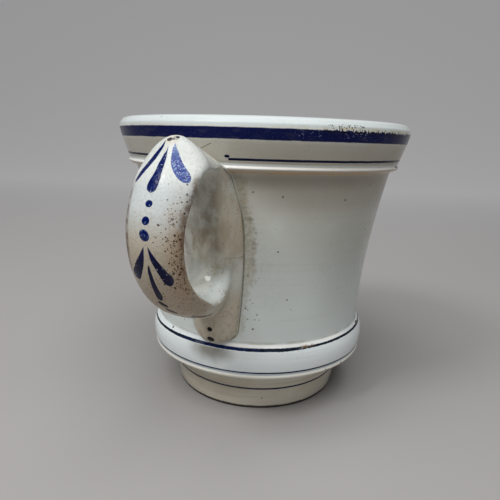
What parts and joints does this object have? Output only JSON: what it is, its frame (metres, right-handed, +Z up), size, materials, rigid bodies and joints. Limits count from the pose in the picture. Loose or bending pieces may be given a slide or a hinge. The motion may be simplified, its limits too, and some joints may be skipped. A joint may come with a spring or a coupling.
{
  "type": "coffee cup",
  "caption": "Glazed earthenware coffee cup on a foot ring, with a flared barrel, a belt at the base, a beaded collar and a moulded loop handle, lined in cobalt blue.",
  "frame": {"origin": "on the standing plane, below the middle of the whole cup's bounding box, handle included; the cup's own axis is the line x = -0.01346, y = 0", "axes": "+X is the way the handle points, +Z is up"},
  "size_m": [0.137, 0.11, 0.105],
  "materials": {
    "glazed_body": "glossy, crazed",
    "glazed_foot": "glossy, thin at the foot's edge",
    "glazed_handle": "glossy, crazed and stained",
    "slip": "matt"
  },
  "bodies": {
    "root": {"cup_body": "glazed_body", "foot_ring": "glazed_foot", "foot_slip": "slip", "handle": "glazed_handle", "handle_slip": "slip"}
  },
  "joints": []
}
